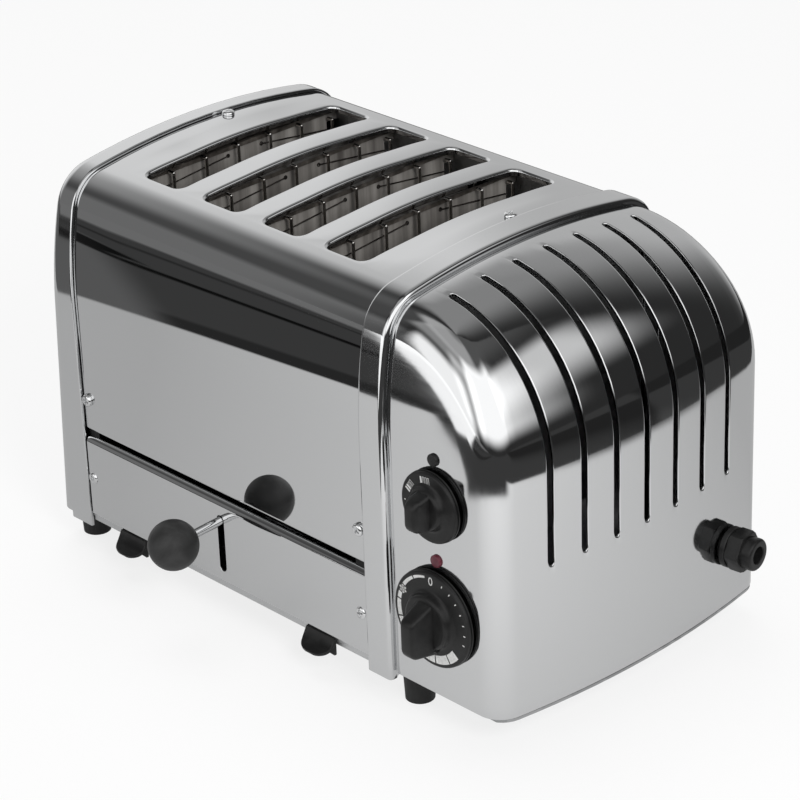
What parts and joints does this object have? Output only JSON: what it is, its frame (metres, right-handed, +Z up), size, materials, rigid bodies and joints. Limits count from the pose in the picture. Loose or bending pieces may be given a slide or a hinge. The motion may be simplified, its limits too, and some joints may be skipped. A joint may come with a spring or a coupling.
{
  "type": "toaster",
  "caption": "Four-slot bread toaster with a polished metal wrap, a vented domed end cap and a flat one, a ball-ended hand lever, winged timer and selector dials and a pull-out crumb tray.",
  "frame": {"origin": "on the table plane, in the middle of the body between the two end caps and between the front and back panels", "axes": "+X along the front panel to the dials' end, +Y from the front to the back, +Z up"},
  "size_m": [0.3495, 0.2383, 0.2207],
  "materials": {
    "polished_steel": "stainless sheet, mirror polished",
    "cap_metal": "cast and polished to a satin shine",
    "chassis_steel": "zinc-plated sheet",
    "mica": "brown-grey mica sheet",
    "element_wire": "oxidised resistance wire and clips",
    "bright_wire": "bright drawn steel",
    "screw_chrome": "bright plated",
    "black_plastic": "moulded, satin black",
    "foot_rubber": "matte black",
    "lens_red": "dark red lens, unlit",
    "unit_plastic": "pale moulded housing"
  },
  "bodies": {
    "body": {"wrap": "polished_steel", "lower_front_panel": "polished_steel", "lower_back_panel": "polished_steel", "left_end_cap": "cap_metal", "right_end_cap": "cap_metal", "base_plate": "chassis_steel", "left_bulkhead": "chassis_steel", "right_bulkhead": "chassis_steel", "front_frame": "chassis_steel", "rear_frame": "chassis_steel", "element_1": "mica", "element_2": "mica", "element_3": "mica", "element_4": "mica", "element_5": "mica", "winding_1": "element_wire", "winding_2": "element_wire", "winding_3": "element_wire", "winding_4": "element_wire", "winding_5": "element_wire", "element_clips": "element_wire", "guard_1": "bright_wire", "guard_2": "bright_wire", "guard_3": "bright_wire", "guard_4": "bright_wire", "lever_bracket": "chassis_steel", "lever_pivot": "bright_wire", "left_guide_rod": "bright_wire", "right_guide_rod": "bright_wire", "tray_runners": "chassis_steel", "feet": "foot_rubber", "foot_screws": "screw_chrome", "panel_screws": "screw_chrome", "top_screws": "screw_chrome", "timer_unit": "unit_plastic", "selector_switch": "unit_plastic", "neon_lamp": "lens_red", "index_plug": "black_plastic", "gland_body": "black_plastic", "gland_nut": "black_plastic", "gland_locknut": "black_plastic", "terminal_block": "unit_plastic"},
    "lever": {"lever_arm": "chassis_steel", "lever_rod": "screw_chrome", "lever_ball": "black_plastic", "lift_pin": "bright_wire"},
    "carriage": {"lift_frame": "chassis_steel", "bread_rack_1": "bright_wire", "bread_rack_2": "bright_wire", "bread_rack_3": "bright_wire", "bread_rack_4": "bright_wire"},
    "tray": {"crumb_tray": "polished_steel", "left_tray_pull": "black_plastic", "right_tray_pull": "black_plastic"},
    "timer": {"timer_knob": "black_plastic", "timer_shaft": "bright_wire"},
    "selector": {"selector_knob": "black_plastic", "selector_shaft": "bright_wire"}
  },
  "joints": [
    {"name": "lever_hinge", "type": "hinge", "parent": "body", "child": "lever", "pos_m": [0, -0.045, 0.0444], "axis": [1, 0, 0], "range_deg": [0, 13]},
    {"name": "carriage_slide", "type": "slide", "parent": "body", "child": "carriage", "axis": [0, 0, 1], "range_m": [0, 0.01575]},
    {"name": "tray_slide", "type": "slide", "parent": "body", "child": "tray", "axis": [0, 1, 0], "range_m": [-0.15, 0]},
    {"name": "timer_turn", "type": "hinge", "parent": "body", "child": "timer", "pos_m": [0.154, -0.098, 0.0625], "axis": [0, 1, 0], "range_deg": [0, 300]},
    {"name": "selector_turn", "type": "hinge", "parent": "body", "child": "selector", "pos_m": [0.154, -0.098, 0.1218], "axis": [0, 1, 0], "range_deg": [0, 120]}
  ],
  "couplings": [
    {"joint": "carriage_slide", "follows": "lever_hinge", "m_per_rad": 0.0694}
  ]
}
